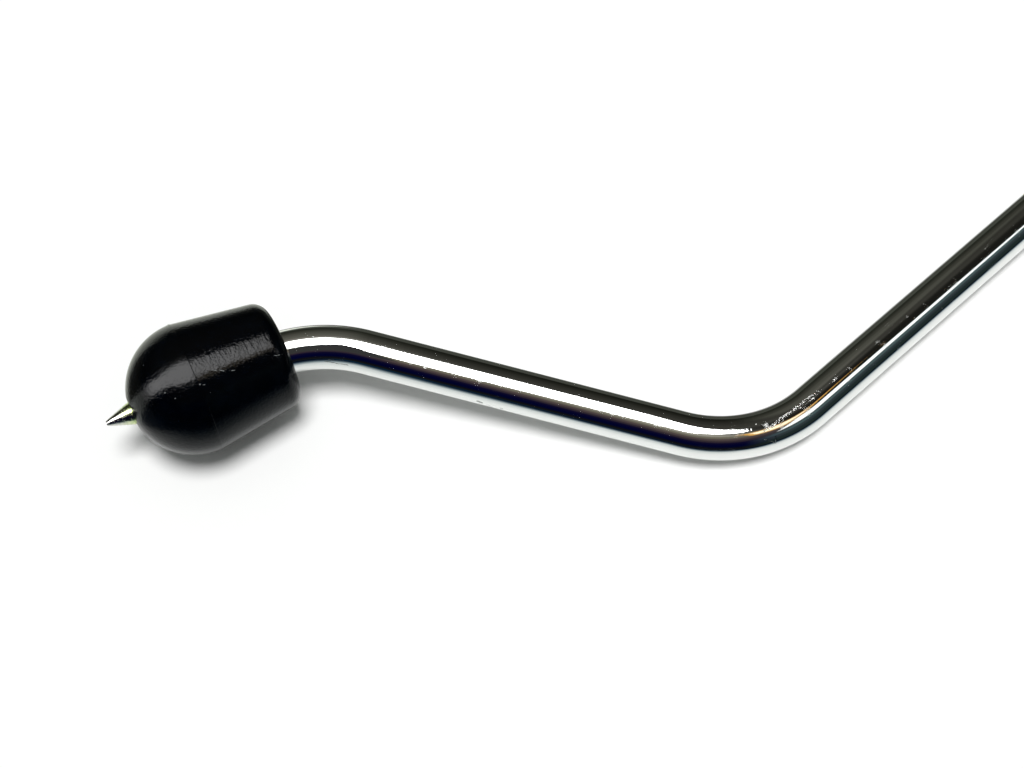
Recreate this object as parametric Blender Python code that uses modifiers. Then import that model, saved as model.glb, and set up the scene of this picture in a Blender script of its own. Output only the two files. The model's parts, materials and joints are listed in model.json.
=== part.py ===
"""Floor tom leg with a screw-adjusted spike foot.

A solid chrome-plated bar is bent twice. Its lower end holds a threaded stud that is turned to a
spike. A bullet-shaped rubber foot, with a threaded bush moulded into it, runs on the stud: screwed
back it bares the spike, and screwed forward it covers the spike. A split washer sits between the
bar's end and the bush.

The leg lies on a table, as photographed. +Z is up and the table is Z = 0. The long straight run of
the bar lies along +X, and the foot's shoulder is what touches the table at the other end. The origin
is the middle of the leg's box, at the table. All values are in metres and radians.
"""

import bpy
import bmesh
from math import atan2, cos, hypot, pi, radians, sin, sqrt, tan
from mathutils import Matrix, Vector

# The bent bar, measured along its centre line from bend corner to bend corner
ROD_DIAMETER = 0.0105
LONG_RUN = 0.400
MIDDLE_RUN = 0.1075
FOOT_RUN = 0.0246
LOWER_BEND = radians(55.5)
FOOT_BEND = radians(40.5)
BEND_RADIUS = 0.035
END_CHAMFER = 0.0006

# The threaded stud and its spike
THREAD_DIAMETER = 0.006
THREAD_PITCH = 0.00075
SHANK_DIAMETER = 0.0048
SHANK_LENGTH = 0.010
STUD_REACH = 0.0266
SPIKE_LENGTH = 0.0068
SPIKE_TIP_DIAMETER = 0.0013
SPIKE_BARE_POINT = 0.0019
TURNING_MARK_DEPTH = 0.00007

# The split washer
WASHER_OUTSIDE = 0.0099
WASHER_THICKNESS = 0.0016
WASHER_SPLIT = 0.0009
WASHER_SPLIT_LEAN = radians(25)

# The threaded bush that is moulded into the rubber
BUSH_LENGTH = 0.009
BUSH_ACROSS_FLATS = 0.010
FLANGE_DIAMETER = 0.014
FLANGE_THICKNESS = 0.002
BUSH_MOUTH_CHAMFER = 0.0005

# The rubber foot: a dome in front of its shoulder, a taper behind it
FOOT_DIAMETER = 0.0313
FOOT_BODY_LENGTH = 0.022
FOOT_TAPER = radians(7.75)
FOOT_BACK_FILLET = 0.0038
PARTING_RING_PROUD = 0.00012
PARTING_RING_WIDTH = 0.0005
BUSH_BEHIND_SHOULDER = 0.003
BORE_MOUTH_CHAMFER = 0.0006
SPIKE_HOLE_LIP = 0.0005

# Clearances, all measured on the radius or along the axis
SEAT_GAP = 0.0003
ROD_IN_FOOT_GAP = 0.0005
STUD_IN_HOLE_GAP = 0.00035
THREAD_GAP = 0.0002

# Facets
ROD_SIDES = 32
BEND_STEP = radians(4.5)
FOOT_SIDES = 64
DOME_STEPS = 14
FILLET_STEPS = 6
THREAD_SIDES = 16
SPIKE_SIDES = 24
# A cutter that meets the thread is turned by this, so that no edge of it lies along the thread's
OFF_THE_THREAD = radians(5)
SMALL_SIDES = 40

# Sizes that follow from the ones above
ROD_RADIUS = ROD_DIAMETER / 2
THREAD_RADIUS = THREAD_DIAMETER / 2
THREAD_DEPTH = 0.6134 * THREAD_PITCH
CREST_FLAT = THREAD_PITCH / 8
ROOT_FLAT = THREAD_PITCH / 4
SHOULDER_RADIUS = FOOT_DIAMETER / 2
CONTACT_RADIUS = SHOULDER_RADIUS + PARTING_RING_PROUD
BORE_RADIUS = ROD_RADIUS + ROD_IN_FOOT_GAP
SPIKE_HOLE_RADIUS = THREAD_RADIUS + STUD_IN_HOLE_GAP

# Places along the foot's axis. The shoulder's centre is 0 and the spike points to +Z.
BUSH_BACK = -BUSH_BEHIND_SHOULDER
BUSH_FRONT = BUSH_BACK + BUSH_LENGTH
WASHER_BACK = BUSH_BACK - SEAT_GAP - WASHER_THICKNESS
ROD_END = WASHER_BACK - SEAT_GAP
SPIKE_TIP = ROD_END + STUD_REACH
FOOT_BACK = -FOOT_BODY_LENGTH

# Directions and corners in the plane of the bends. The lower bend's corner is 0, 0.
MIDDLE_HEADING = pi - LOWER_BEND
FOOT_HEADING = MIDDLE_HEADING + FOOT_BEND
MIDDLE_WAY = Vector((cos(MIDDLE_HEADING), sin(MIDDLE_HEADING), 0))
FOOT_WAY = Vector((cos(FOOT_HEADING), sin(FOOT_HEADING), 0))
FOOT_CORNER = MIDDLE_WAY * MIDDLE_RUN
SHOULDER_CENTRE = FOOT_CORNER + FOOT_WAY * (FOOT_RUN - ROD_END)


def lying_tilt():
    """How far the plane of the bends rises from the table, with the bar and the foot's shoulder on it.

    The shoulder is a ring of CONTACT_RADIUS about the foot's axis. Its lowest point lies below its
    centre by that radius times the cosine of the axis's own slope, which the tilt also sets.
    """
    across = SHOULDER_CENTRE.y
    slope = CONTACT_RADIUS * FOOT_WAY.y
    a = across ** 2 + slope ** 2
    b = ROD_RADIUS * across
    c = ROD_RADIUS ** 2 - CONTACT_RADIUS ** 2
    return (-b + sqrt(b ** 2 - a * c)) / a


TILT_SINE = lying_tilt()
TILT = atan2(TILT_SINE, sqrt(1 - TILT_SINE ** 2))


def box_middle():
    """The middle of the leg's box in X and Y, seen from the lower bend's corner."""
    tip = SHOULDER_CENTRE + FOOT_WAY * SPIKE_TIP
    tip_corner = tip.x - SPIKE_TIP_DIAMETER / 2 * FOOT_WAY.y
    far_side = SHOULDER_CENTRE.y * cos(TILT) + SHOULDER_RADIUS
    return (LONG_RUN + tip_corner) / 2, (far_side - ROD_RADIUS) / 2


def start_file():
    """Empties the scene and makes one collection for the leg and one for the cutters."""
    for item in list(bpy.data.objects):
        bpy.data.objects.remove(item, do_unlink=True)
    made = []
    for name in ("floor_tom_leg", "cutters"):
        collection = bpy.data.collections.new(name)
        bpy.context.scene.collection.children.link(collection)
        made.append(collection)
    return made


LEG_COLLECTION, CUTTER_COLLECTION = start_file()


def material(name, colour, roughness, metallic):
    """A Principled BSDF with one colour."""
    made = bpy.data.materials.new(name)
    made.use_nodes = True
    shader = made.node_tree.nodes["Principled BSDF"]
    shader.inputs["Base Color"].default_value = (*colour, 1)
    shader.inputs["Roughness"].default_value = roughness
    shader.inputs["Metallic"].default_value = metallic
    return made


def empty(name, parent, matrix):
    """A bare frame that pieces hang from."""
    made = bpy.data.objects.new(name, None)
    LEG_COLLECTION.objects.link(made)
    made.parent = parent
    made.matrix_local = matrix
    return made


def place(made, parent, finish, along=0.0):
    """Hangs a finished piece from its frame, at its place along that frame's Z."""
    LEG_COLLECTION.objects.link(made)
    made.parent = parent
    made.location = (0, 0, along)
    made.data.materials.append(finish)
    made.data.shade_smooth()
    made.data.set_sharp_from_angle(angle=radians(30))
    return made


def cutter(made, parent, along=0.0, turn=0.0):
    """Hangs a cutter from a frame. It is drawn as wire and never rendered."""
    CUTTER_COLLECTION.objects.link(made)
    made.parent = parent
    made.location = (0, 0, along)
    made.rotation_euler.z = turn
    made.hide_render = True
    made.display_type = "WIRE"
    return made


def boolean(made, name, tool, operation):
    """Adds an exact Boolean modifier."""
    modifier = made.modifiers.new(name, "BOOLEAN")
    modifier.operation = operation
    modifier.solver = "EXACT"
    modifier.object = tool


def mesh_object(name, fill):
    """A new object whose mesh is filled by one bmesh function."""
    mesh = bpy.data.meshes.new(name)
    shape = bmesh.new()
    fill(shape)
    shape.to_mesh(mesh)
    shape.free()
    return bpy.data.objects.new(name, mesh)


def profile_object(name, points, closed):
    """A line of edges in the XZ plane, as (radius, height) points."""
    def fill(shape):
        corners = [shape.verts.new((radius, 0, height)) for radius, height in points]
        for first, second in zip(corners, corners[1:]):
            shape.edges.new((first, second))
        if closed:
            shape.edges.new((corners[-1], corners[0]))
    return mesh_object(name, fill)


def screw(made, sides, pitch=0.0, turns=1):
    """Turns a profile about Z, or winds it when there is a pitch."""
    modifier = made.modifiers.new("turn", "SCREW")
    modifier.axis = "Z"
    modifier.steps = modifier.render_steps = sides
    modifier.screw_offset = pitch
    modifier.iterations = turns
    modifier.use_merge_vertices = pitch == 0
    modifier.merge_threshold = 0.00001
    modifier.use_normal_calculate = pitch != 0
    return made


def turned(name, points, sides, closed=False):
    """A turned solid. The profile runs down its outer side, top to bottom."""
    return screw(profile_object(name, points, closed), sides)


def fixed_mesh(made, welded_within=0.000001):
    """The evaluated mesh of an object as a plain new object, with its doubles welded."""
    bpy.context.scene.collection.objects.link(made)
    seen = made.evaluated_get(bpy.context.evaluated_depsgraph_get())
    mesh = bpy.data.meshes.new_from_object(seen)
    name = made.name
    bpy.data.objects.remove(made, do_unlink=True)
    shape = bmesh.new()
    shape.from_mesh(mesh)
    bmesh.ops.remove_doubles(shape, verts=shape.verts, dist=welded_within)
    bmesh.ops.recalc_face_normals(shape, faces=shape.faces)
    shape.to_mesh(mesh)
    shape.free()
    mesh.name = name
    return bpy.data.objects.new(name, mesh)


def arc(centre, radius, start, end, steps):
    """Points on a round stretch of an outline, both ends included."""
    angles = [start + (end - start) * step / steps for step in range(steps + 1)]
    return [(centre[0] + radius * cos(angle), centre[1] + radius * sin(angle)) for angle in angles]


def rod_path():
    """The bar's centre line in the plane of the bends, from its upper end to the end in the foot."""
    def bend(corner, way_in, way_out, angle, side):
        """Points of one bend, from tangent point to tangent point."""
        reach = BEND_RADIUS * tan(angle / 2)
        first = corner - way_in * reach
        centre = first + Vector((-way_in.y, way_in.x, 0)) * side * BEND_RADIUS
        steps = max(2, round(angle / BEND_STEP))
        points = []
        for step in range(steps + 1):
            turn = Matrix.Rotation(side * angle * step / steps, 4, "Z")
            points.append(centre + turn @ (first - centre))
        return points

    way_down = Vector((-1, 0, 0))
    path = [Vector((LONG_RUN, 0, 0))]
    path += bend(Vector((0, 0, 0)), way_down, MIDDLE_WAY, LOWER_BEND, -1)
    path += bend(FOOT_CORNER, MIDDLE_WAY, FOOT_WAY, FOOT_BEND, 1)
    path.append(FOOT_CORNER + FOOT_WAY * FOOT_RUN)
    return path


def bent_bar(name):
    """A round bar along the path, as a welded mesh."""
    curve = bpy.data.curves.new(name + "_path", "CURVE")
    curve.dimensions = "3D"
    curve.twist_mode = "Z_UP"
    curve.bevel_depth = ROD_RADIUS
    curve.bevel_resolution = (ROD_SIDES - 4) // 2
    curve.use_fill_caps = True
    path = rod_path()
    spline = curve.splines.new("POLY")
    spline.points.add(len(path) - 1)
    for point, place_at in zip(spline.points, path):
        point.co = (*place_at, 1)
    made = fixed_mesh(bpy.data.objects.new(name, curve))
    bpy.data.curves.remove(curve)
    return made


def leg_rod(plane, axis, finish):
    """The chrome-plated bar, chamfered at both ends and drilled at its lower end for the stud."""
    rod = place(bent_bar("leg_rod"), plane, finish)
    chamfer = rod.modifiers.new("end_chamfer", "BEVEL")
    chamfer.width = END_CHAMFER
    chamfer.segments = 1
    chamfer.limit_method = "ANGLE"
    chamfer.angle_limit = radians(60)
    hole_radius = SHANK_DIAMETER / 2 + SEAT_GAP
    hole_depth = SHANK_LENGTH + SEAT_GAP
    drill_point = hole_radius * tan(radians(31))
    drill = turned("stud_drill", [
        (0, ROD_RADIUS),
        (hole_radius, ROD_RADIUS),
        (hole_radius, -hole_depth),
        (0, -hole_depth - drill_point),
    ], SMALL_SIDES)
    boolean(rod, "stud_hole", cutter(drill, axis, ROD_END), "DIFFERENCE")
    return rod


def thread_bar(name, grow, low, high):
    """A closed bar with a right-hand thread. Grown on its radius, it is the tap for a nut."""
    crest = THREAD_RADIUS + grow
    root = crest - THREAD_DEPTH
    flank = (THREAD_PITCH - CREST_FLAT - ROOT_FLAT) / 2
    turns_below = int(-low / THREAD_PITCH) + 2
    turns_above = int(high / THREAD_PITCH) + 2
    start = -turns_below * THREAD_PITCH
    profile = [
        (root, start + THREAD_PITCH),
        (root, start + THREAD_PITCH - ROOT_FLAT),
        (crest, start + THREAD_PITCH - ROOT_FLAT - flank),
        (crest, start + flank),
        (root, start),
    ]
    bar = screw(profile_object(name, profile, False), THREAD_SIDES, THREAD_PITCH, turns_below + turns_above)
    bar = fixed_mesh(bar)
    shape = bmesh.new()
    shape.from_mesh(bar.data)
    for height, facing in ((low, -1), (high, 1)):
        everything = shape.verts[:] + shape.edges[:] + shape.faces[:]
        bmesh.ops.bisect_plane(shape, geom=everything, plane_co=(0, 0, height),
                               plane_no=(0, 0, facing), clear_outer=True)
    rims = [edge for edge in shape.edges if edge.is_boundary]
    bmesh.ops.holes_fill(shape, edges=rims, sides=0)
    bmesh.ops.recalc_face_normals(shape, faces=shape.faces)
    shape.to_mesh(bar.data)
    shape.free()
    return bar


def spike_outline():
    """The turned envelope of the stud: shank, thread blank and cone, from the tip down."""
    slope = (THREAD_RADIUS - SPIKE_TIP_DIAMETER / 2) / SPIKE_LENGTH
    lean = hypot(1, slope)
    points = [(0, SPIKE_TIP), (SPIKE_TIP_DIAMETER / 2, SPIKE_TIP)]
    marks = int((SPIKE_LENGTH - SPIKE_BARE_POINT) / THREAD_PITCH)
    for mark in range(marks):
        below_tip = SPIKE_BARE_POINT + mark * THREAD_PITCH
        radius = SPIKE_TIP_DIAMETER / 2 + slope * below_tip
        points.append((radius, SPIKE_TIP - below_tip))
        groove = radius + slope * THREAD_PITCH / 2 - TURNING_MARK_DEPTH * lean
        points.append((groove, SPIKE_TIP - below_tip - THREAD_PITCH / 2))
    outside = THREAD_RADIUS + THREAD_GAP
    points.append((outside, SPIKE_TIP - (outside - SPIKE_TIP_DIAMETER / 2) / slope))
    points.append((outside, ROD_END + SEAT_GAP))
    points.append((SHANK_DIAMETER / 2, ROD_END + SEAT_GAP))
    points.append((SHANK_DIAMETER / 2, ROD_END - SHANK_LENGTH))
    points.append((0, ROD_END - SHANK_LENGTH))
    return points


def spike_stud(axis, finish):
    """The zinc-plated stud: a plain shank in the bar, a thread, and the spike turned on its end."""
    low = ROD_END - SHANK_LENGTH - THREAD_PITCH
    stud = place(thread_bar("spike_stud", 0, low, SPIKE_TIP + THREAD_PITCH), axis, finish)
    envelope = turned("spike_envelope", spike_outline(), SPIKE_SIDES)
    boolean(stud, "turned_to_shape", cutter(envelope, axis, turn=OFF_THE_THREAD), "INTERSECT")
    return stud


def lock_washer(axis, finish):
    """The split washer, pressed flat, with its slanting gap."""
    inside = THREAD_RADIUS + SEAT_GAP
    outside = WASHER_OUTSIDE / 2
    washer = turned("lock_washer", [
        (outside, WASHER_THICKNESS),
        (outside, 0),
        (inside, 0),
        (inside, WASHER_THICKNESS),
    ], SMALL_SIDES, closed=True)
    place(washer, axis, finish, WASHER_BACK)

    def fill(shape):
        long_side = WASHER_OUTSIDE
        bmesh.ops.create_cube(shape, size=1, matrix=Matrix.Diagonal((long_side, WASHER_SPLIT, long_side, 1)))
        bmesh.ops.rotate(shape, verts=shape.verts, matrix=Matrix.Rotation(WASHER_SPLIT_LEAN, 3, "X"))
        bmesh.ops.translate(shape, verts=shape.verts, vec=(long_side / 2, 0, WASHER_THICKNESS / 2))
    boolean(washer, "split", cutter(mesh_object("washer_split", fill), axis, WASHER_BACK), "DIFFERENCE")
    return washer


def hex_prism(name, across_flats, low, high):
    """A six-sided bar along Z."""
    def fill(shape):
        corner = across_flats / 2 / cos(pi / 6)
        bmesh.ops.create_cone(shape, cap_ends=True, segments=6, radius1=corner, radius2=corner, depth=high - low)
        bmesh.ops.translate(shape, verts=shape.verts, vec=(0, 0, (low + high) / 2))
    return mesh_object(name, fill)


def countersink(name, inward):
    """A 45 degree cone for the mouth of the bush's thread. Inward is 1 at its back and -1 at its front."""
    mouth = THREAD_RADIUS + THREAD_GAP + BUSH_MOUTH_CHAMFER
    depth = 2 * BUSH_MOUTH_CHAMFER
    past_face = BUSH_MOUTH_CHAMFER
    inner = (mouth - depth, inward * depth)
    outer = (mouth + past_face, -inward * past_face)
    top, bottom = (inner, outer) if inward > 0 else (outer, inner)
    return turned(name, [(0, top[1]), top, bottom, (0, bottom[1])], SPIKE_SIDES)


def threaded_bush(axis, finish):
    """The brass bush: a hexagonal body that can't turn in the rubber, and a round flange at its back."""
    bush = turned("threaded_bush", [
        (0, FLANGE_THICKNESS),
        (FLANGE_DIAMETER / 2, FLANGE_THICKNESS),
        (FLANGE_DIAMETER / 2, 0),
        (0, 0),
    ], SMALL_SIDES)
    place(bush, axis, finish, BUSH_BACK)
    body = hex_prism("bush_body", BUSH_ACROSS_FLATS, FLANGE_THICKNESS / 2, BUSH_LENGTH)
    boolean(bush, "hexagon", cutter(body, axis, BUSH_BACK), "UNION")
    tap = thread_bar("bush_tap", THREAD_GAP, BUSH_BACK - THREAD_PITCH, BUSH_FRONT + THREAD_PITCH)
    boolean(bush, "thread", cutter(tap, axis), "DIFFERENCE")
    for name, end, inward in (("bush_mouth_back", BUSH_BACK, 1), ("bush_mouth_front", BUSH_FRONT, -1)):
        lead_in = cutter(countersink(name, inward), axis, end, OFF_THE_THREAD)
        boolean(bush, name, lead_in, "DIFFERENCE")
    return bush


def foot_outline():
    """The rubber's section, from the spike hole over the dome and the taper, and back up the bore."""
    pocket_radius = FLANGE_DIAMETER / 2 + SEAT_GAP
    pocket_back = BUSH_BACK - SEAT_GAP
    pocket_front = BUSH_BACK + FLANGE_THICKNESS + SEAT_GAP
    lip = SPIKE_HOLE_RADIUS + SPIKE_HOLE_LIP
    lip_angle = pi / 2 - atan2(lip, sqrt(SHOULDER_RADIUS ** 2 - lip ** 2))
    ring = PARTING_RING_WIDTH / 2
    ring_angle = atan2(ring, SHOULDER_RADIUS)
    taper = tan(FOOT_TAPER)

    points = [(SPIKE_HOLE_RADIUS, SHOULDER_RADIUS * sin(lip_angle) - SPIKE_HOLE_LIP / 2)]
    points += arc((0, 0), SHOULDER_RADIUS, lip_angle, ring_angle, DOME_STEPS)
    points.append((SHOULDER_RADIUS + PARTING_RING_PROUD, ring / 2))
    points.append((SHOULDER_RADIUS + PARTING_RING_PROUD, -ring / 2))
    points.append((SHOULDER_RADIUS - ring * taper, -ring))
    fillet_turn = pi / 2 - FOOT_TAPER
    rim_radius = SHOULDER_RADIUS - FOOT_BODY_LENGTH * taper
    corner_reach = FOOT_BACK_FILLET * tan(fillet_turn / 2)
    fillet_centre = (rim_radius - corner_reach, FOOT_BACK + FOOT_BACK_FILLET)
    points += arc(fillet_centre, FOOT_BACK_FILLET, -FOOT_TAPER, -pi / 2, FILLET_STEPS)
    points.append((BORE_RADIUS + BORE_MOUTH_CHAMFER, FOOT_BACK))
    points.append((BORE_RADIUS, FOOT_BACK + BORE_MOUTH_CHAMFER))
    points.append((BORE_RADIUS, pocket_back))
    points.append((pocket_radius, pocket_back))
    points.append((pocket_radius, pocket_front))
    points.append((SPIKE_HOLE_RADIUS, pocket_front))
    return points


def foot_rubber(axis, finish):
    """The bullet-shaped rubber foot, with a bore for the bar and a pocket for the bush."""
    foot = place(turned("foot_rubber", foot_outline(), FOOT_SIDES, closed=True), axis, finish)
    pocket = hex_prism("bush_pocket", BUSH_ACROSS_FLATS + 2 * SEAT_GAP, BUSH_BACK, BUSH_FRONT + SEAT_GAP)
    boolean(foot, "hexagon", cutter(pocket, axis), "DIFFERENCE")
    return foot


def build():
    """Makes every piece and prints what the joints need to know."""
    chrome = material("chrome_plate", (0.80, 0.80, 0.82), 0.06, 1.0)
    zinc = material("zinc_plate", (0.74, 0.73, 0.62), 0.28, 1.0)
    steel = material("spring_steel", (0.42, 0.42, 0.43), 0.35, 1.0)
    brass = material("brass", (0.78, 0.60, 0.30), 0.30, 1.0)
    rubber = material("black_rubber", (0.012, 0.013, 0.015), 0.45, 0.0)

    middle_x, middle_y = box_middle()
    plane = empty("bend_plane", None, Matrix.Translation((-middle_x, -middle_y, ROD_RADIUS))
                  @ Matrix.Rotation(TILT, 4, "X"))
    aim = Vector((0, 0, 1)).rotation_difference(FOOT_WAY).to_matrix().to_4x4()
    axis = empty("foot_axis", plane, Matrix.Translation(SHOULDER_CENTRE) @ aim)

    leg_rod(plane, axis, chrome)
    spike_stud(axis, zinc)
    lock_washer(axis, steel)
    threaded_bush(axis, brass)
    foot_rubber(axis, rubber)

    bpy.context.view_layer.update()
    centre = axis.matrix_world.translation
    way = axis.matrix_world.to_3x3() @ Vector((0, 0, 1))
    top = plane.matrix_world @ Vector((LONG_RUN, 0, 0))
    print("shoulder centre", [round(value, 7) for value in centre])
    print("foot axis", [round(value, 7) for value in way])
    print("upper end", [round(value, 7) for value in top])
    print("travel per radian", THREAD_PITCH / (2 * pi))


build()
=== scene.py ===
# %% [markdown]
# # Floor tom leg foot
# A floor tom stands on three bent legs. This one is a solid chrome-plated bar with a black rubber foot
# that screws along a threaded stud, to bare or cover a steel spike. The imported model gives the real
# sizes and the joints, and this lesson dresses it: finer meshes, real finishes, a table and a lamp.
# Lengths are in metres, and the leg lies on the table at Z = 0 with its long run along X.

# %% Load the frame
import bpy
import json
from math import asin, atan2, cos, hypot, pi, radians, sin, sqrt, tan
from mathutils import Matrix, Vector


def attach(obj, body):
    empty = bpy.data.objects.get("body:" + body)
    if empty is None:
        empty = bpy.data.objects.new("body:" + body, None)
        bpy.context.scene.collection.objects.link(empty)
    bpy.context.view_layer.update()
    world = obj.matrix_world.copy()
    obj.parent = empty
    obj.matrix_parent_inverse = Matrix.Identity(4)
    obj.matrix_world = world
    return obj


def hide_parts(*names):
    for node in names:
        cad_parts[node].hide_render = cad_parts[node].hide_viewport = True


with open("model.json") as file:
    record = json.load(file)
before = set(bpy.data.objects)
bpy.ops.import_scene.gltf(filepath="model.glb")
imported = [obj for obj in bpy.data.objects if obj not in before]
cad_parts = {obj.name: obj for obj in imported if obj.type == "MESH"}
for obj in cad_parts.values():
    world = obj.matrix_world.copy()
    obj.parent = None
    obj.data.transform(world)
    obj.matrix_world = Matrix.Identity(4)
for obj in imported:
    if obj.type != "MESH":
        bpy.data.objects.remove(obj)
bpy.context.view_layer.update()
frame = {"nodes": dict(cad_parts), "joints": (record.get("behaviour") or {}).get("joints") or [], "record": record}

upper_end = Vector(frame["record"]["mounts"][0]["pos_m"])
turn_joint = next(joint for joint in frame["joints"] if joint["name"] == "foot_turn")
shoulder_centre = Vector(turn_joint["pos_m"])
foot_way = Vector(turn_joint["axis"]).normalized()
print("nodes", sorted(frame["nodes"]), "shoulder centre", tuple(shoulder_centre))

# %% [markdown]
# ## Working by hand, in code
# Every piece here is modelled with the operators that a person would use. An operator acts on all that
# is selected, and the frame leaves its own pieces selected, so each step first clears the selection and
# then picks one object. Faces are picked by their place.

# %% Helpers for selecting
def pick(piece):
    """Makes one object the only selected and active one, in object mode."""
    if bpy.context.mode != "OBJECT":
        bpy.ops.object.mode_set(mode="OBJECT")
    bpy.ops.object.select_all(action="DESELECT")
    piece.select_set(True)
    bpy.context.view_layer.objects.active = piece


def pick_faces(piece, wanted):
    """Enters edit mode with only those faces selected for which wanted(face) is true."""
    pick(piece)
    bpy.ops.object.mode_set(mode="EDIT")
    bpy.ops.mesh.select_mode(type="FACE")
    bpy.ops.mesh.select_all(action="DESELECT")
    bpy.ops.object.mode_set(mode="OBJECT")
    for face in piece.data.polygons:
        face.select = wanted(face)
    bpy.ops.object.mode_set(mode="EDIT")


def pick_ring(piece, centre, reach):
    """Enters edit mode with only the vertices selected that lie within reach of a point."""
    pick(piece)
    bpy.ops.object.mode_set(mode="EDIT")
    bpy.ops.mesh.select_mode(type="VERT")
    bpy.ops.mesh.select_all(action="DESELECT")
    bpy.ops.object.mode_set(mode="OBJECT")
    for vertex in piece.data.vertices:
        vertex.select = (vertex.co - centre).length < reach
    bpy.ops.object.mode_set(mode="EDIT")


def finish_mesh(piece, sharp_above=radians(32)):
    """Welds doubles, turns all faces outward, and shades the piece smooth except at real corners."""
    pick(piece)
    bpy.ops.object.mode_set(mode="EDIT")
    bpy.ops.mesh.select_all(action="SELECT")
    bpy.ops.mesh.remove_doubles(threshold=0.000002)
    bpy.ops.mesh.normals_make_consistent(inside=False)
    bpy.ops.object.mode_set(mode="OBJECT")
    bpy.ops.object.shade_smooth_by_angle(angle=sharp_above)
    print(piece.name, len(piece.data.vertices), "vertices", len(piece.data.polygons), "faces")
    return piece


# %% [markdown]
# ## Camera
# The photograph looks down on the table from about 40 cm, 28 degrees from straight above. A camera fitted
# to the bar's edges gives its place, the point on the table that it aims at, a slight roll and the lens.

# %% Camera
CAMERA_PLACE = Vector((-0.291204, -0.127475, 0.331869))
CAMERA_AIM = Vector((-0.173500, 0.000663, 0))
CAMERA_ROLL = radians(0.763)
CAMERA_LENS = 54.13
SENSOR_WIDTH = 36

bpy.ops.object.select_all(action="DESELECT")
bpy.ops.object.camera_add(location=CAMERA_PLACE)
camera = bpy.context.object
camera.name = "camera"
camera.data.lens = CAMERA_LENS
camera.data.sensor_fit = "HORIZONTAL"
camera.data.sensor_width = SENSOR_WIDTH
camera.data.clip_start = 0.01
camera.data.clip_end = 200
camera.data.dof.use_dof = False
aim = (CAMERA_AIM - CAMERA_PLACE).to_track_quat("-Z", "Y")
camera.rotation_euler = (aim.to_matrix() @ Matrix.Rotation(CAMERA_ROLL, 3, "Z")).to_euler()
bpy.context.scene.camera = camera
bpy.context.scene.view_settings.view_transform = "Standard"
print("camera", round((CAMERA_AIM - CAMERA_PLACE).length, 4), "m from the table point that it aims at")

# %% [markdown]
# ## Node helpers
# Finishes are built from nodes. A few short functions keep that readable: one adds a node with its
# settings, one joins sockets, and one makes a node group with named inputs and outputs, which is how an
# effect is shared by several materials.

# %% Node helpers
def add_node(tree, kind, **settings):
    """Adds a node and sets its properties."""
    made = tree.nodes.new(kind)
    for name, value in settings.items():
        setattr(made, name, value)
    return made


def feed(tree, socket, value):
    """Gives an input socket a link or a plain value."""
    if isinstance(value, bpy.types.NodeSocket):
        tree.links.new(value, socket)
    elif value is not None:
        socket.default_value = value


def maths(tree, operation, first, second=None, third=None, clamp=False):
    """A Math node's result."""
    made = add_node(tree, "ShaderNodeMath", operation=operation, use_clamp=clamp)
    for socket, value in zip(made.inputs, (first, second, third)):
        feed(tree, socket, value)
    return made.outputs["Value"]


def vector_maths(tree, operation, first, second=None, output="Vector"):
    """A Vector Math node's result."""
    made = add_node(tree, "ShaderNodeVectorMath", operation=operation)
    feed(tree, made.inputs[0], first)
    feed(tree, made.inputs[1], second)
    return made.outputs[output]


def fade(tree, value, start, end, low=0.0, high=1.0):
    """A soft step: low before start, high after end."""
    made = add_node(tree, "ShaderNodeMapRange", interpolation_type="SMOOTHSTEP")
    feed(tree, made.inputs["Value"], value)
    for name, item in (("From Min", start), ("From Max", end), ("To Min", low), ("To Max", high)):
        feed(tree, made.inputs[name], item)
    return made.outputs["Result"]


def blend_colours(tree, amount, first, second):
    """Mixes two colours by a mask."""
    made = add_node(tree, "ShaderNodeMix", data_type="RGBA")
    feed(tree, made.inputs["Factor"], amount)
    feed(tree, made.inputs["A"], first)
    feed(tree, made.inputs["B"], second)
    return made.outputs["Result"]


def new_group(name, inputs, outputs):
    """A node group with named sockets: inputs are (name, kind, value) and outputs (name, kind)."""
    group = bpy.data.node_groups.new(name, "ShaderNodeTree")
    for socket_name, kind, value in inputs:
        socket = group.interface.new_socket(socket_name, in_out="INPUT", socket_type="NodeSocket" + kind)
        socket.default_value = value
    for socket_name, kind in outputs:
        group.interface.new_socket(socket_name, in_out="OUTPUT", socket_type="NodeSocket" + kind)
    source = group.nodes.new("NodeGroupInput").outputs
    result = group.nodes.new("NodeGroupOutput").inputs
    return group, source, result


def use_group(tree, group, **values):
    """Places a node group and gives its inputs links or values. A socket's spaces are written _."""
    made = add_node(tree, "ShaderNodeGroup", node_tree=group)
    for name, value in values.items():
        feed(tree, made.inputs[name.replace("_", " ")], value)
    return made.outputs


# %% [markdown]
# ## The room that the chrome mirrors
# Chrome has no colour of its own. What it shows is the room: a long lighted panel on the ceiling, a warm
# lamp at the panel's end, a window, and dark walls. A flat panel on a ceiling has straight edges there, so
# each light is drawn where a mirrored ray meets the ceiling, as a shape between straight edges.

# %% Directions in the room
def direction(azimuth, elevation):
    """A unit vector. Azimuth is measured from +X towards +Y, and both are in degrees."""
    flat = cos(radians(elevation))
    return Vector((flat * cos(radians(azimuth)), flat * sin(radians(azimuth)), sin(radians(elevation))))


PANEL_AZIMUTH = 150
PANEL_ALONG = direction(PANEL_AZIMUTH, 0)
PANEL_ACROSS = direction(PANEL_AZIMUTH - 90, 0)
LOWEST_RISE = 0.05

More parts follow.
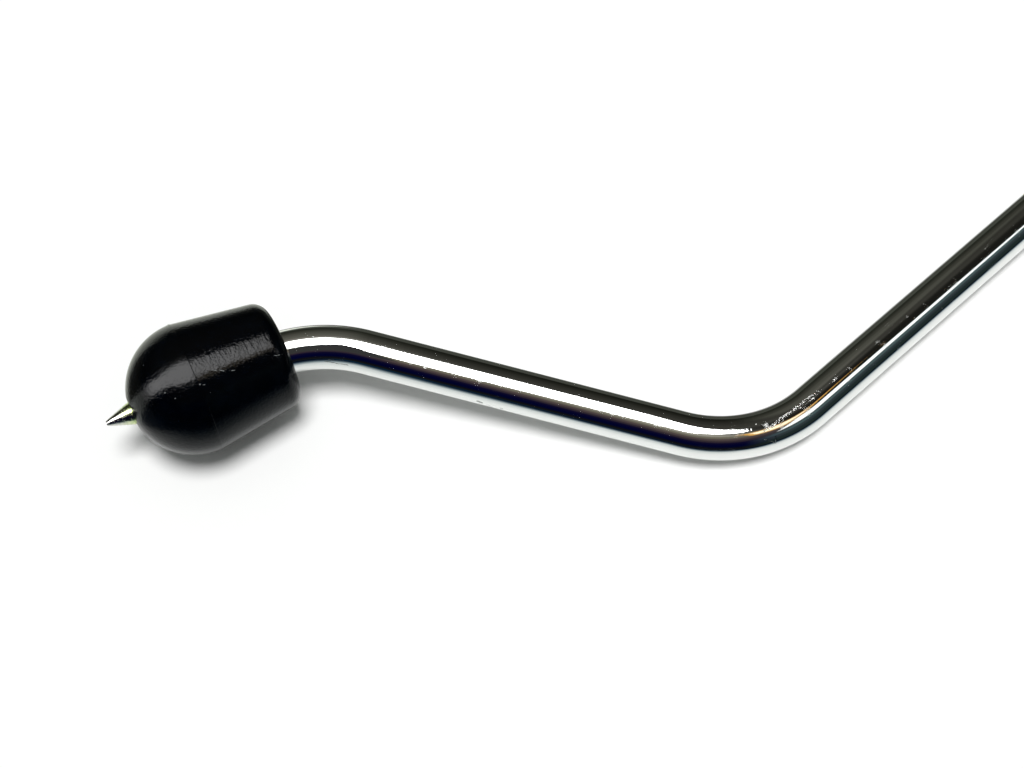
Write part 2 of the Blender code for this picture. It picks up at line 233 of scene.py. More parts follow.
# %% Ceiling groups
ceiling_group, ceiling_in, ceiling_out = new_group("ceiling place", [
    ("Direction", "Vector", (0, 0, 1)),
], [("Along", "Float"), ("Across", "Float")])
rise = add_node(ceiling_group, "ShaderNodeSeparateXYZ")
feed(ceiling_group, rise.inputs["Vector"], ceiling_in["Direction"])
rise = maths(ceiling_group, "MAXIMUM", rise.outputs["Z"], LOWEST_RISE)
for axis, socket in ((PANEL_ALONG, "Along"), (PANEL_ACROSS, "Across")):
    reach = vector_maths(ceiling_group, "DOT_PRODUCT", ceiling_in["Direction"], axis, "Value")
    ceiling_group.links.new(maths(ceiling_group, "DIVIDE", reach, rise), ceiling_out[socket])

edge_group, edge_in, edge_out = new_group("straight edge", [
    ("Along", "Float", 0.0),
    ("Across", "Float", 0.0),
    ("Along weight", "Float", 1.0),
    ("Across weight", "Float", 0.0),
    ("Limit", "Float", 1.0),
    ("Softness", "Float", 0.02),
], [("Mask", "Float")])
along_part = maths(edge_group, "MULTIPLY", edge_in["Along"], edge_in["Along weight"])
reach = maths(edge_group, "MULTIPLY_ADD", edge_in["Across"], edge_in["Across weight"], along_part)
start = maths(edge_group, "SUBTRACT", edge_in["Limit"], edge_in["Softness"])
end = maths(edge_group, "ADD", edge_in["Limit"], edge_in["Softness"])
edge_group.links.new(fade(edge_group, reach, start, end, 1.0, 0.0), edge_out["Mask"])

spot_group, spot_in, spot_out = new_group("round patch", [
    ("Direction", "Vector", (0, 0, 1)),
    ("Centre", "Vector", (0, 0, 1)),
    ("Inner cosine", "Float", 0.9),
    ("Outer cosine", "Float", 0.8),
], [("Mask", "Float")])
toward = vector_maths(spot_group, "DOT_PRODUCT", spot_in["Direction"], spot_in["Centre"], "Value")
spot_mask = fade(spot_group, toward, spot_in["Outer cosine"], spot_in["Inner cosine"])
spot_group.links.new(spot_mask, spot_out["Mask"])
print("room groups", [group.name for group in bpy.data.node_groups])

# %% [markdown]
# An edge is three numbers: how much it counts the way along the panel, how much the way across it, and
# the limit that the sum stays below. Four or five edges shut in a panel, the warm lamp or the window.

# %% Lights and walls
PANEL_STRENGTH = 7.6
PANEL_EDGES = [(0, 1, 0.395), (0.127, 1, 0.335), (-1, 0, 0.36), (-1, -1, 0.39), (-0.33, -1, 0.31), (0, -1, 0.35),
               (1, 0, 1.15)]
PANEL_FAR_EDGES = [(-1, 0, -1.15), (-0.12, 1, 0.02), (-0.13, -1, 0.21)]
PANEL_FADE = (1.0, 6.0, 1.0, 0.2)
WARM_EDGES = [(1.562, 1, -0.86), (2.73, -1, -0.737), (0, 1, -0.02), (-0.48, -1, 0.632), (-1, 0, 0.575)]
WARM_COLOUR = (1.40, 1.22, 0.88, 1)
GLOW_EDGES = [(1.562, 1, -0.80), (2.73, -1, -0.60), (0, 1, 0.07), (-0.48, -1, 0.71), (-1, 0, 0.61)]
GLOW_COLOUR = (0.85, 0.46, 0.12, 1)
WINDOW_EDGES = [(1, -0.154, -0.588), (0.86, 1, -0.753), (-1.025, -1, 1.55), (0.217, 1, -0.302)]
WINDOW_COLOUR = (1.30, 1.35, 1.35, 1)
DARK_CORNER = direction(-18, 56)
DARK_COLOUR = (0.012, 0.012, 0.010, 1)
SHADED_WALL = direction(132, 0)
NEAR_SIDE = direction(-140, 0)
WINDOW_SIDE = direction(-50, 0)


def lit_shape(tree, along, across, edges, softness):
    """The mask of a light between straight edges."""
    shape = 1.0
    for along_weight, across_weight, limit in edges:
        mask = use_group(tree, edge_group, Along=along, Across=across, Along_weight=along_weight,
                         Across_weight=across_weight, Limit=limit, Softness=softness)["Mask"]
        shape = maths(tree, "MULTIPLY", shape, mask)
    return shape


def ramp(tree, value, stops):
    """A colour ramp from (position, colour) stops."""
    made = add_node(tree, "ShaderNodeValToRGB")
    made.color_ramp.interpolation = "EASE"
    elements = made.color_ramp.elements
    elements[0].position, elements[0].color = stops[0][0], (*stops[0][1], 1)
    elements[1].position, elements[1].color = stops[-1][0], (*stops[-1][1], 1)
    for position, colour in stops[1:-1]:
        elements.new(position).color = (*colour, 1)
    feed(tree, made.inputs["Fac"], value)
    return made.outputs["Color"]


def height(elevation):
    """Where an elevation in degrees lies on a ramp over a direction's Z."""
    return sin(radians(elevation))


world = bpy.data.worlds.new("room")
bpy.context.scene.world = world
world.use_nodes = True
room = world.node_tree
room.nodes.clear()
looking = add_node(room, "ShaderNodeTexCoord").outputs["Generated"]
up = add_node(room, "ShaderNodeSeparateXYZ")
feed(room, up.inputs["Vector"], looking)
far_wall = ramp(room, up.outputs["Z"], [
    (height(0), (0.022, 0.024, 0.018)),
    (height(9), (0.022, 0.024, 0.018)),
    (height(22), (0.045, 0.045, 0.036)),
    (height(35), (0.075, 0.075, 0.062)),
    (height(55), (0.115, 0.112, 0.095)),
    (height(70), (0.300, 0.290, 0.260)),
])
near_wall = ramp(room, up.outputs["Z"], [
    (height(0), (0.010, 0.012, 0.011)),
    (height(8), (0.005, 0.005, 0.008)),
    (height(20), (0.000, 0.001, 0.024)),
    (height(34), (0.004, 0.003, 0.024)),
    (height(42), (0.034, 0.024, 0.034)),
    (height(52), (0.085, 0.062, 0.062)),
    (height(62), (0.180, 0.165, 0.125)),
    (height(70), (0.400, 0.380, 0.320)),
])
window_wall = ramp(room, up.outputs["Z"], [
    (height(0), (0.014, 0.022, 0.020)),
    (height(12), (0.016, 0.027, 0.027)),
    (height(25), (0.038, 0.050, 0.056)),
    (height(34), (0.080, 0.125, 0.130)),
    (height(44), (0.060, 0.070, 0.066)),
    (height(60), (0.060, 0.052, 0.036)),
])
turned_away = vector_maths(room, "DOT_PRODUCT", looking, SHADED_WALL, "Value")
walls = blend_colours(room, fade(room, turned_away, -0.10, 0.05, 0.64, 0.0), far_wall, (0.004, 0.004, 0.003, 1))
nearness = vector_maths(room, "DOT_PRODUCT", looking, NEAR_SIDE, "Value")
walls = blend_colours(room, fade(room, nearness, -0.05, 0.25), walls, near_wall)
nearness = vector_maths(room, "DOT_PRODUCT", looking, WINDOW_SIDE, "Value")
walls = blend_colours(room, fade(room, nearness, 0.52, 0.80), walls, window_wall)
dark = use_group(room, spot_group, Direction=looking, Centre=DARK_CORNER,
                 Inner_cosine=cos(radians(6)), Outer_cosine=cos(radians(22)))["Mask"]
walls = blend_colours(room, dark, walls, DARK_COLOUR)

# %% Put the lights on the ceiling
ceiling = use_group(room, ceiling_group, Direction=looking)
along_ceiling, across_ceiling = ceiling["Along"], ceiling["Across"]
glow = lit_shape(room, along_ceiling, across_ceiling, GLOW_EDGES, 0.04)
walls = blend_colours(room, glow, walls, GLOW_COLOUR)
window = lit_shape(room, along_ceiling, across_ceiling, WINDOW_EDGES, 0.02)
walls = blend_colours(room, window, walls, WINDOW_COLOUR)
warm = lit_shape(room, along_ceiling, across_ceiling, WARM_EDGES, 0.03)
walls = blend_colours(room, warm, walls, WARM_COLOUR)
panel = lit_shape(room, along_ceiling, across_ceiling, PANEL_EDGES, 0.008)
far_panel = lit_shape(room, along_ceiling, across_ceiling, PANEL_FAR_EDGES, 0.03)
panel = maths(room, "MAXIMUM", panel, far_panel)
panel = maths(room, "MULTIPLY", panel, fade(room, along_ceiling, *PANEL_FADE))
walls = blend_colours(room, panel, walls, (PANEL_STRENGTH, PANEL_STRENGTH, PANEL_STRENGTH, 1))

# %% [markdown]
# Only glossy rays see the painted room. All other rays get a plain soft fill, so a colour renders about as
# it is written, and the camera sees white past the table's edge.

# %% Who sees what
FILL_LIGHT = (0.232, 0.242, 0.236, 1)
WHITE = (1, 1, 1, 1)
rays = add_node(room, "ShaderNodeLightPath")
light = blend_colours(room, rays.outputs["Is Glossy Ray"], FILL_LIGHT, walls)
light = blend_colours(room, rays.outputs["Is Camera Ray"], light, WHITE)
light = blend_colours(room, rays.outputs["Is Transmission Ray"], light, WHITE)
background = add_node(room, "ShaderNodeBackground")
feed(room, background.inputs["Color"], light)
world_output = add_node(room, "ShaderNodeOutputWorld")
room.links.new(background.outputs["Background"], world_output.inputs["Surface"])
world.cycles.sampling_method = "NONE"
print("world", len(room.nodes), "nodes")

# %% [markdown]
# ## Marks that several finishes share
# Turned, drawn and moulded pieces all carry fine rings about their axis, and worn ones carry specks and
# scratches. Each of those is a node group that gives a height or a mask, and every material mixes them in
# its own way. Rings are noise that is squeezed along the axis. Specks are the middles of random cells. A
# scratch is a line between two points on the surface rolled out flat.

# %% Groups for marks
rings_group, rings_in, rings_out = new_group("fine rings", [
    ("Place", "Vector", (0, 0, 0)),
    ("Around", "Float", 500.0),
    ("Along", "Float", 2500.0),
    ("Detail", "Float", 2.0),
], [("Height", "Float")])
squeeze = add_node(rings_group, "ShaderNodeCombineXYZ")
for name, socket in (("X", "Around"), ("Y", "Around"), ("Z", "Along")):
    feed(rings_group, squeeze.inputs[name], rings_in[socket])
ring_noise = add_node(rings_group, "ShaderNodeTexNoise")
feed(rings_group, ring_noise.inputs["Vector"],
     vector_maths(rings_group, "MULTIPLY", rings_in["Place"], squeeze.outputs["Vector"]))
feed(rings_group, ring_noise.inputs["Scale"], 1.0)
feed(rings_group, ring_noise.inputs["Detail"], rings_in["Detail"])
rings_group.links.new(ring_noise.outputs["Fac"], rings_out["Height"])

speck_group, speck_in, speck_out = new_group("scattered specks", [
    ("Place", "Vector", (0, 0, 0)),
    ("Spacing", "Float", 0.005),
    ("Radius", "Float", 0.0002),
    ("Share", "Float", 0.3),
], [("Mask", "Float")])
cells = add_node(speck_group, "ShaderNodeTexVoronoi")
feed(speck_group, cells.inputs["Vector"], speck_in["Place"])
feed(speck_group, cells.inputs["Scale"], maths(speck_group, "DIVIDE", 1.0, speck_in["Spacing"]))
chance = add_node(speck_group, "ShaderNodeSeparateColor")
feed(speck_group, chance.inputs["Color"], cells.outputs["Color"])
speck_size = maths(speck_group, "DIVIDE", speck_in["Radius"], speck_in["Spacing"])
speck_size = maths(speck_group, "MULTIPLY", speck_size, maths(speck_group, "ADD", chance.outputs["Green"], 0.4))
speck = fade(speck_group, cells.outputs["Distance"], speck_size,
             maths(speck_group, "MULTIPLY", speck_size, 0.5))
chosen = maths(speck_group, "LESS_THAN", chance.outputs["Red"], speck_in["Share"])
speck_group.links.new(maths(speck_group, "MULTIPLY", speck, chosen), speck_out["Mask"])

roll_group, roll_in, roll_out = new_group("rolled out", [
    ("Place", "Vector", (0, 0, 0)),
    ("Radius", "Float", 0.005),
], [("Flat place", "Vector")])
parts = add_node(roll_group, "ShaderNodeSeparateXYZ")
feed(roll_group, parts.inputs["Vector"], roll_in["Place"])
turn = maths(roll_group, "ARCTAN2", maths(roll_group, "MULTIPLY", parts.outputs["X"], -1), parts.outputs["Y"])
flat_place = add_node(roll_group, "ShaderNodeCombineXYZ")
feed(roll_group, flat_place.inputs["X"], maths(roll_group, "MULTIPLY", turn, roll_in["Radius"]))
feed(roll_group, flat_place.inputs["Y"], parts.outputs["Z"])
roll_group.links.new(flat_place.outputs["Vector"], roll_out["Flat place"])

scratch_group, scratch_in, scratch_out = new_group("scratch", [
    ("Flat place", "Vector", (0, 0, 0)),
    ("Start", "Vector", (0, 0, 0)),
    ("End", "Vector", (0, 0.001, 0)),
    ("Half width", "Float", 0.0001),
], [("Mask", "Float")])
wobble = add_node(scratch_group, "ShaderNodeTexNoise")
feed(scratch_group, wobble.inputs["Vector"], scratch_in["Flat place"])
feed(scratch_group, wobble.inputs["Scale"], 1500.0)
wobble = vector_maths(scratch_group, "SUBTRACT", wobble.outputs["Color"], (0.5, 0.5, 0.5))
wobble = vector_maths(scratch_group, "MULTIPLY", wobble, (0.0006, 0.0006, 0.0))
shaken = vector_maths(scratch_group, "ADD", scratch_in["Flat place"], wobble)
from_start = vector_maths(scratch_group, "SUBTRACT", shaken, scratch_in["Start"])
whole = vector_maths(scratch_group, "SUBTRACT", scratch_in["End"], scratch_in["Start"])
share = maths(scratch_group, "DIVIDE", vector_maths(scratch_group, "DOT_PRODUCT", from_start, whole, "Value"),
              vector_maths(scratch_group, "DOT_PRODUCT", whole, whole, "Value"), clamp=True)
nearest = add_node(scratch_group, "ShaderNodeVectorMath", operation="SCALE")
feed(scratch_group, nearest.inputs[0], whole)
feed(scratch_group, nearest.inputs["Scale"], share)
miss = vector_maths(scratch_group, "DISTANCE", from_start, nearest.outputs["Vector"], "Value")
narrow = maths(scratch_group, "MULTIPLY", scratch_in["Half width"], 0.5)
scratch_group.links.new(fade(scratch_group, miss, scratch_in["Half width"], narrow), scratch_out["Mask"])
print("mark groups", [group.name for group in bpy.data.node_groups][-4:])

# %% [markdown]
# The foot, its spike and the pieces inside it share one axis. A last group turns a point on any of them
# into its place on the same piece stood upright, with Z along the axis.

# %% The foot's axis, and helpers for finishes
side_way = foot_way.cross(Vector((0, 0, 1))).normalized()
rise_way = side_way.cross(foot_way)
axis_group, axis_in, axis_out = new_group("upright place", [("Position", "Vector", (0, 0, 0))],
                                          [("Place", "Vector")])
from_shoulder = vector_maths(axis_group, "SUBTRACT", axis_in["Position"], shoulder_centre)
upright = add_node(axis_group, "ShaderNodeCombineXYZ")
for name, axis in (("X", side_way), ("Y", rise_way), ("Z", foot_way)):
    feed(axis_group, upright.inputs[name], vector_maths(axis_group, "DOT_PRODUCT", from_shoulder, axis, "Value"))
axis_group.links.new(upright.outputs["Vector"], axis_out["Place"])


def new_finish(name):
    """A material with its node tree and its shader."""
    made = bpy.data.materials.new(name)
    made.use_nodes = True
    return made, made.node_tree, made.node_tree.nodes["Principled BSDF"]


def upright_place(tree):
    """Where a point lies on a piece of the foot stood upright."""
    position = add_node(tree, "ShaderNodeTexCoord").outputs["Object"]
    return use_group(tree, axis_group, Position=position)["Place"]


def rough_up(tree, shader, height, depth, strength=1.0):
    """Bumps the surface by a height whose full range is depth metres."""
    bump = add_node(tree, "ShaderNodeBump")
    feed(tree, bump.inputs["Strength"], strength)
    feed(tree, bump.inputs["Distance"], depth)
    feed(tree, bump.inputs["Height"], height)
    feed(tree, shader.inputs["Normal"], bump.outputs["Normal"])


def noise(tree, place, scale, detail=2.0):
    """A Noise Texture's value."""
    made = add_node(tree, "ShaderNodeTexNoise")
    feed(tree, made.inputs["Vector"], place)
    feed(tree, made.inputs["Scale"], scale)
    feed(tree, made.inputs["Detail"], detail)
    return made.outputs["Fac"]


def scratches(tree, flat_place, lines):
    """One mask for several scratches, each given by its start, its end and half its width in mm."""
    shape = 0.0
    for start, end, half_width in lines:
        mask = use_group(tree, scratch_group, Flat_place=flat_place, Start=(*(Vector(start) / 1000), 0),
                         End=(*(Vector(end) / 1000), 0), Half_width=half_width / 1000)["Mask"]
        shape = maths(tree, "MAXIMUM", shape, mask)
    return shape


# %% [markdown]
# ## The bent bar
# On the real leg this is one 10.5 mm steel bar, bent cold in two places and then chrome plated. Its path is
# straight runs and round bends, so it is made the way a hand would draw it: a ring at the upper end is
# extruded down the straight, spun round each bend and extruded again. A curve with a bevel would do too,
# but spin gives clean, evenly spaced rings, which a mirror finish needs.

# %% Bar sizes
LONG_RUN = 0.400
MIDDLE_RUN = 0.1075
LOWER_BEND = radians(55.5)
FOOT_BEND = radians(40.5)
BEND_RADIUS = 0.035
END_CHAMFER = 0.0006
ROD_END = -0.0052
SHANK_RADIUS = 0.0024
SEAT_GAP = 0.0003
SHANK_LENGTH = 0.010
BAR_SIDES = 96
BEND_STEP = radians(1.5)

rod_radius = upper_end.z
long_way = Vector((-1, 0, 0))
plane_normal = foot_way.cross(long_way).normalized()
middle_way = Matrix.Rotation(-LOWER_BEND, 3, plane_normal) @ long_way
lower_reach = BEND_RADIUS * tan(LOWER_BEND / 2)
foot_reach = BEND_RADIUS * tan(FOOT_BEND / 2)
lower_corner = upper_end + long_way * LONG_RUN
foot_corner = lower_corner + middle_way * MIDDLE_RUN
rod_end = shoulder_centre + foot_way * ROD_END
lower_centre = lower_corner - long_way * lower_reach + long_way.cross(plane_normal) * BEND_RADIUS
foot_centre = foot_corner - middle_way * foot_reach - middle_way.cross(plane_normal) * BEND_RADIUS
print("foot corner to the rod's end", round((rod_end - foot_corner).length, 5))

# %% Draw the bar
def spin_ring(centre, axis, angle):
    """Spins the selected ring round a bend. The operator turns against its axis, so the angle is negative."""
    steps = round(angle / BEND_STEP)
    bpy.ops.mesh.spin(steps=steps, angle=-angle, center=centre, axis=axis)


bpy.ops.object.select_all(action="DESELECT")
bpy.ops.mesh.primitive_circle_add(vertices=BAR_SIDES, radius=rod_radius, location=upper_end,
                                  rotation=(0, pi / 2, 0))
bar = bpy.context.object
bar.name = "chrome_bar"
bpy.ops.object.transform_apply(location=True, rotation=True, scale=True)
bpy.ops.object.mode_set(mode="EDIT")
bpy.ops.mesh.select_all(action="SELECT")
bpy.ops.mesh.extrude_region_move(TRANSFORM_OT_translate={"value": long_way * (LONG_RUN - lower_reach)})
spin_ring(lower_centre, -plane_normal, LOWER_BEND)
middle_straight = MIDDLE_RUN - lower_reach - foot_reach
bpy.ops.mesh.extrude_region_move(TRANSFORM_OT_translate={"value": middle_way * middle_straight})
spin_ring(foot_centre, plane_normal, FOOT_BEND)
last_straight = (rod_end - foot_corner).length - foot_reach
bpy.ops.mesh.extrude_region_move(TRANSFORM_OT_translate={"value": foot_way * last_straight})
bpy.ops.object.mode_set(mode="OBJECT")
last_ring = [vertex.co for vertex in bar.data.vertices if vertex.select]
last_middle = sum(last_ring, Vector()) / len(last_ring)
print("the drawn bar ends", round((last_middle - rod_end).length * 1000, 4), "mm from the rod's end")

# %% Close and machine the bar's ends
pick_ring(bar, upper_end, rod_radius * 1.1)
bpy.ops.mesh.edge_face_add()
bpy.ops.mesh.bevel(offset=END_CHAMFER, segments=3, affect="EDGES")
pick_ring(bar, rod_end, rod_radius * 1.1)
bpy.ops.mesh.edge_face_add()
bpy.ops.mesh.bevel(offset=END_CHAMFER, segments=2, affect="EDGES")
pick_faces(bar, lambda face: (face.center - rod_end).length < 0.001)
bpy.ops.mesh.inset(thickness=rod_radius - END_CHAMFER - SHANK_RADIUS - SEAT_GAP)
bpy.ops.mesh.extrude_region_move(TRANSFORM_OT_translate={"value": foot_way * -(SHANK_LENGTH + SEAT_GAP)})
bpy.ops.mesh.poke(offset=-0.0016)
bpy.ops.object.mode_set(mode="OBJECT")
finish_mesh(bar)

# %% [markdown]
# The finish on the bar runs along it and round it, so its pattern needs to know how far along the bar each
# point lies. An attribute holds each point's place on the same bar unbent: round it in X and Y, along it
# in Z. Noise read there has no seam, and it bends with the bar.

# %% Unbend the bar for its finish
def unbent_place(point):
    """A point's place on the straightened bar, whose upper end is at Z = 0."""
    def off(start, way):
        """How far along, to the side in the bends' plane and out of that plane a point lies."""
        gap = point - start
        return gap.dot(way), gap.dot(way.cross(plane_normal)), gap.dot(plane_normal)

    def round_bend(centre, start_way, side):
        """The same for a bend, as an angle and a distance from its centre."""
        gap = point - centre
        outward = -start_way.cross(plane_normal) * side
        turned_by = atan2(gap.dot(start_way), gap.dot(outward))
        flat = hypot(gap.dot(start_way), gap.dot(outward))
        return turned_by, (BEND_RADIUS - flat) * side, gap.dot(plane_normal)

    first_run = LONG_RUN - lower_reach
    ahead, side, rise = off(upper_end, long_way)
    if ahead <= first_run:
        return Vector((side, rise, ahead))
    turned_by, side, rise = round_bend(lower_centre, long_way, 1)
    if turned_by <= LOWER_BEND:
        return Vector((side, rise, first_run + turned_by * BEND_RADIUS))
    second_start = first_run + LOWER_BEND * BEND_RADIUS
    ahead, side, rise = off(lower_corner + middle_way * lower_reach, middle_way)
    if ahead <= middle_straight:
        return Vector((side, rise, second_start + ahead))
    turned_by, side, rise = round_bend(foot_centre, middle_way, -1)
    third_start = second_start + middle_straight
    if turned_by <= FOOT_BEND:
        return Vector((side, rise, third_start + turned_by * BEND_RADIUS))
    ahead, side, rise = off(foot_corner + foot_way * foot_reach, foot_way)
    return Vector((side, rise, third_start + FOOT_BEND * BEND_RADIUS + ahead))


def store_places(piece, name, place_of):
    """Writes a vector attribute from a function of each vertex's place."""
    attribute = piece.data.attributes.new(name, "FLOAT_VECTOR", "POINT")
    for vertex, item in zip(piece.data.vertices, attribute.data):
        item.vector = place_of(vertex.co)


store_places(bar, "unbent", unbent_place)
print("bar length", round(max(item.vector.z for item in bar.data.attributes["unbent"].data), 4))

# %% [markdown]
# Chrome plate is a mirror that shows how the steel under it was finished. Polishing leaves faint rings,
# which fray the edges of every reflection, and years of use leave pits and a few scratches. The larger
# marks lie where the photograph shows them, given as millimetres round the bar and along it.

# %% Bar finish
BAR_PITS = [((7.7, 463.3), (8.0, 462.3), 0.40), ((8.3, 457.8), (8.35, 457.3), 0.26)]
BAR_SCRATCHES = [
    ((5.75, 501.4), (6.25, 498.5), 0.10),
    ((6.25, 498.5), (6.45, 495.2), 0.10),
    ((5.3, 500.6), (5.5, 498.9), 0.07),
    ((3.2, 397.2), (5.1, 394.8), 0.09),
    ((5.1, 394.8), (3.3, 394.6), 0.09),
    ((8.4, 461.2), (8.5, 459.6), 0.06),
    ((2.1, 477.2), (2.2, 476.8), 0.13),
]
BAR_SANDED = [
    ((1.4, 396.7), (-0.3, 391.7), 0.34),
    ((-0.3, 391.7), (-1.25, 384.1), 0.30),
    ((-1.25, 384.1), (-0.9, 380.0), 0.26),
]
chrome, chrome_tree, chrome_shader = new_finish("chrome_plate")
unbent = add_node(chrome_tree, "ShaderNodeAttribute", attribute_name="unbent").outputs["Vector"]
unrolled = use_group(chrome_tree, roll_group, Place=unbent, Radius=rod_radius)["Flat place"]
polish = use_group(chrome_tree, rings_group, Place=unbent, Around=330.0, Along=1500.0, Detail=2.0)["Height"]
waves = noise(chrome_tree, unbent, 90.0)
pits = use_group(chrome_tree, speck_group, Place=unbent, Spacing=0.0035, Radius=0.00022, Share=0.22)["Mask"]
pits = maths(chrome_tree, "MAXIMUM", pits, scratches(chrome_tree, unrolled, BAR_PITS))
scored = scratches(chrome_tree, unrolled, BAR_SCRATCHES)
sanded = scratches(chrome_tree, unrolled, BAR_SANDED)
sanded = maths(chrome_tree, "MULTIPLY", sanded, fade(chrome_tree, noise(chrome_tree, unbent, 2600.0), 0.50, 0.60))
level = maths(chrome_tree, "MULTIPLY", polish, 0.0000042)
level = maths(chrome_tree, "MULTIPLY_ADD", waves, 0.000014, level)
level = maths(chrome_tree, "MULTIPLY_ADD", pits, -0.000020, level)
level = maths(chrome_tree, "MULTIPLY_ADD", scored, -0.000012, level)
level = maths(chrome_tree, "MULTIPLY_ADD", sanded, -0.000060, level)
rough_up(chrome_tree, chrome_shader, level, 1.0)
marred = maths(chrome_tree, "MAXIMUM", maths(chrome_tree, "MULTIPLY", pits, 0.8), scored)
plate = blend_colours(chrome_tree, noise(chrome_tree, unbent, 25.0), (0.80, 0.81, 0.79, 1), (0.84, 0.85, 0.84, 1))
plate = blend_colours(chrome_tree, marred, plate, (0.16, 0.17, 0.16, 1))
feed(chrome_tree, chrome_shader.inputs["Base Color"], plate)
dull = fade(chrome_tree, noise(chrome_tree, unbent, 60.0, 4.0), 0.4, 0.75, 0.015, 0.045)
stains = fade(chrome_tree, noise(chrome_tree, unbent, 380.0, 5.0), 0.50, 0.70)
dull = maths(chrome_tree, "MULTIPLY_ADD", stains, 0.13, dull)
feed(chrome_tree, chrome_shader.inputs["Roughness"], maths(chrome_tree, "MULTIPLY_ADD", marred, 0.25, dull))
chrome_shader.inputs["Metallic"].default_value = 1.0
bar.data.materials.append(chrome)
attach(bar, "leg")
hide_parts("leg_rod")
print("chrome", len(chrome_tree.nodes), "nodes")

# %% [markdown]
# ## The rubber foot
# The real foot is moulded: a dome that rests on the floor, a shoulder with a faint parting ring, and a
# tapered back with a rounded rim. A turned shape starts as half of its section, drawn as a line of
# points and spun round the axis. It is drawn upright and then laid along the joint's axis.

# %% Foot sizes
FOOT_DIAMETER = 0.0313
FOOT_BODY_LENGTH = 0.022
FOOT_TAPER = radians(7.75)
FOOT_BACK_FILLET = 0.0038
PARTING_RING_PROUD = 0.00010
PARTING_RING_WIDTH = 0.0005
THREAD_RADIUS = 0.003
SPIKE_HOLE_RADIUS = THREAD_RADIUS + 0.00035
SPIKE_HOLE_LIP = 0.0005
BORE_RADIUS = rod_radius + 0.0005
BORE_MOUTH = 0.0006
BUSH_BACK = -0.003
BUSH_LENGTH = 0.009
FLANGE_RADIUS = 0.007
FLANGE_THICKNESS = 0.002
BUSH_CORNER = 0.005 / cos(pi / 6)
FOOT_SIDES = 144
RING_STEP = 0.00028
shoulder_radius = FOOT_DIAMETER / 2

# %% Turning helpers
def arc(centre, radius, start, end, step):
    """Points on a round stretch of a section, both ends included."""
    count = max(2, round(abs(end - start) * radius / step))
    angles = [start + (end - start) * part / count for part in range(count + 1)]
    return [(centre[0] + radius * cos(angle), centre[1] + radius * sin(angle)) for angle in angles]


def straight(start, end, step):
    """Points on a straight stretch of a section, without its first one."""
    count = max(1, round(hypot(end[0] - start[0], end[1] - start[1]) / step))
    return [(start[0] + (end[0] - start[0]) * part / count, start[1] + (end[1] - start[1]) * part / count)
            for part in range(1, count + 1)]


def draw_section(name, points, closed):
    """Draws a line of (radius, height) points by extruding one vertex, in the XZ plane."""
    bpy.ops.object.select_all(action="DESELECT")
    bpy.ops.mesh.primitive_plane_add(size=0.001)
    piece = bpy.context.object
    piece.name = name
    bpy.ops.object.mode_set(mode="EDIT")
    bpy.ops.mesh.select_mode(type="VERT")
    bpy.ops.mesh.select_all(action="SELECT")
    bpy.ops.mesh.merge(type="CENTER")
    bpy.ops.transform.translate(value=(points[0][0], 0, points[0][1]))
    for here, there in zip(points, points[1:]):
        step = (there[0] - here[0], 0, there[1] - here[1])
        bpy.ops.mesh.extrude_region_move(TRANSFORM_OT_translate={"value": step})
    if closed:
        bpy.ops.mesh.select_all(action="SELECT")
        bpy.ops.object.mode_set(mode="OBJECT")
        for vertex in piece.data.vertices:
            ends = (points[0], points[-1])
            vertex.select = any(hypot(vertex.co.x - x, vertex.co.z - z) < 1e-7 for x, z in ends)
        for edge in piece.data.edges:
            edge.select = False
        bpy.ops.object.mode_set(mode="EDIT")
        bpy.ops.mesh.edge_face_add()
    bpy.ops.object.mode_set(mode="OBJECT")
    return piece


def turned(name, points, sides, closed=False):
    """A turned piece, upright at the origin: its section spun round Z."""
    piece = draw_section(name, points, closed)
    bpy.ops.object.mode_set(mode="EDIT")
    bpy.ops.mesh.select_all(action="SELECT")
    bpy.ops.mesh.spin(steps=sides, angle=2 * pi, center=(0, 0, 0), axis=(0, 0, 1), use_auto_merge=True)
    return finish_mesh(piece)


def lay_on_axis(piece):
    """Moves a piece drawn upright to the foot's axis, and leaves its object at the origin."""
    pick(piece)
    piece.rotation_euler = Vector((0, 0, 1)).rotation_difference(foot_way).to_euler()
    piece.location = shoulder_centre
    bpy.ops.object.transform_apply(location=True, rotation=True, scale=True)


# %% Foot section
def mould_marks(points):
    """The same outline with the faint, uneven rings that a turned mould leaves on the rubber."""
    marked = []
    for radius, level in points:
        wave = sin(level * 5200) + 0.8 * sin(level * 9100 + 1.3) + 0.7 * sin(level * 14300 + 0.4)
        marked.append((radius + 0.0000035 * wave, level))
    return marked


ring = PARTING_RING_WIDTH / 2
taper = tan(FOOT_TAPER)
lip_radius = SPIKE_HOLE_RADIUS + SPIKE_HOLE_LIP
lip_angle = pi / 2 - asin(lip_radius / shoulder_radius)
ring_angle = asin(ring / shoulder_radius)
dome = arc((0, 0), shoulder_radius, lip_angle, ring_angle, RING_STEP)
bead = arc((shoulder_radius, 0), ring, pi / 2, -pi / 2, ring / 3)
bead = [(shoulder_radius + (x - shoulder_radius) * PARTING_RING_PROUD / ring, z) for x, z in bead[1:-1]]
rim_radius = shoulder_radius - FOOT_BODY_LENGTH * taper
fillet_turn = pi / 2 - FOOT_TAPER
fillet_middle = (rim_radius - FOOT_BACK_FILLET * tan(fillet_turn / 2), -FOOT_BODY_LENGTH + FOOT_BACK_FILLET)
fillet = arc(fillet_middle, FOOT_BACK_FILLET, -FOOT_TAPER, -pi / 2, RING_STEP)
taper_start = (shoulder_radius - ring * taper, -ring)
body = [taper_start] + straight(taper_start, fillet[0], RING_STEP)
pocket_radius = BUSH_CORNER + SEAT_GAP
pocket_back = BUSH_BACK - SEAT_GAP
